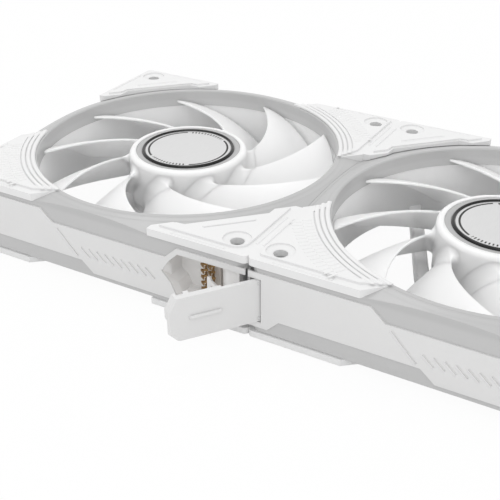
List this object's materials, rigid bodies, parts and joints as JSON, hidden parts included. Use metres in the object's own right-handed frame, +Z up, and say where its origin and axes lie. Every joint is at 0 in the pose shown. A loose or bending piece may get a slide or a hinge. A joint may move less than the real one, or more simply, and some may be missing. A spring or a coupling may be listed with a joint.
{
  "type": "linked computer case fans",
  "caption": "Pair of square axial case fans joined edge to edge, with swept blades, raised duct rims, corner pads and a hinged link cover.",
  "frame": {"origin": "middle of the joint between the two fans, on the underside of the lower corner pads", "axes": "+X along the pair towards the fan that carries the link cover, +Y away from the side with the connector bays, +Z up through the fans towards the hub trim"},
  "size_m": [0.24, 0.1425, 0.0295],
  "materials": {
    "frame_white": "satin moulded",
    "diffuser": "milky, light-spreading",
    "panel_white": "fine moulded texture",
    "pad_white": "soft matte",
    "rotor_white": "semi-gloss moulded",
    "hub_grey": "satin",
    "dark_chrome": "polished",
    "silver": "fine satin",
    "steel": "drawn",
    "magnet": "bonded ferrite",
    "bronze": "sintered",
    "core_steel": "laminated",
    "copper": "enamelled wire",
    "board": "white solder mask",
    "chip": "moulded lens",
    "block_ivory": "moulded",
    "gold": "gold flashed"
  },
  "bodies": {
    "frames": {"hinge_bracket": "frame_white", "hinge_pin": "steel", "left_base_diffuser": "diffuser", "left_base_pads": "pad_white", "left_bearing": "bronze", "left_bearing_plug": "frame_white", "left_connector_bay": "frame_white", "left_contact_block": "block_ivory", "left_contact_fingers": "gold", "left_curved_pads": "pad_white", "left_end_panel": "panel_white", "left_frame": "frame_white", "left_front_panel": "panel_white", "left_light_boards": "board", "left_light_chips": "chip", "left_motor_board": "board", "left_rear_panel": "panel_white", "left_stator_core": "core_steel", "left_straight_pads": "pad_white", "left_top_diffuser": "diffuser", "left_windings": "copper", "right_base_diffuser": "diffuser", "right_base_pads": "pad_white", "right_bearing": "bronze", "right_bearing_plug": "frame_white", "right_connector_bay": "frame_white", "right_contact_block": "block_ivory", "right_contact_fingers": "gold", "right_curved_pads": "pad_white", "right_end_panel": "panel_white", "right_frame": "frame_white", "right_front_panel": "panel_white", "right_light_boards": "board", "right_light_chips": "chip", "right_motor_board": "board", "right_rear_panel": "panel_white", "right_stator_core": "core_steel", "right_straight_pads": "pad_white", "right_top_diffuser": "diffuser", "right_windings": "copper"},
    "left_spinner": {"left_badge_bezel": "dark_chrome", "left_badge_disc": "silver", "left_hub_ring": "hub_grey", "left_magnet_ring": "magnet", "left_retaining_washer": "steel", "left_rotor": "rotor_white", "left_shaft": "steel", "left_yoke": "steel"},
    "right_spinner": {"right_badge_bezel": "dark_chrome", "right_badge_disc": "silver", "right_hub_ring": "hub_grey", "right_magnet_ring": "magnet", "right_retaining_washer": "steel", "right_rotor": "rotor_white", "right_shaft": "steel", "right_yoke": "steel"},
    "link_door": {"link_cover": "panel_white"}
  },
  "joints": [
    {"name": "left_rotor_spin", "type": "hinge", "parent": "frames", "child": "left_spinner", "pos_m": [-0.06, 0, 0.015], "axis": [0, 0, 1], "continuous": true},
    {"name": "right_rotor_spin", "type": "hinge", "parent": "frames", "child": "right_spinner", "pos_m": [0.06, 0, 0.015], "axis": [0, 0, 1], "continuous": true},
    {"name": "link_cover_hinge", "type": "hinge", "parent": "frames", "child": "link_door", "pos_m": [0.0034, -0.05885, 0.0146], "axis": [0, 0, 1], "range_deg": [-53.5, 40]}
  ]
}
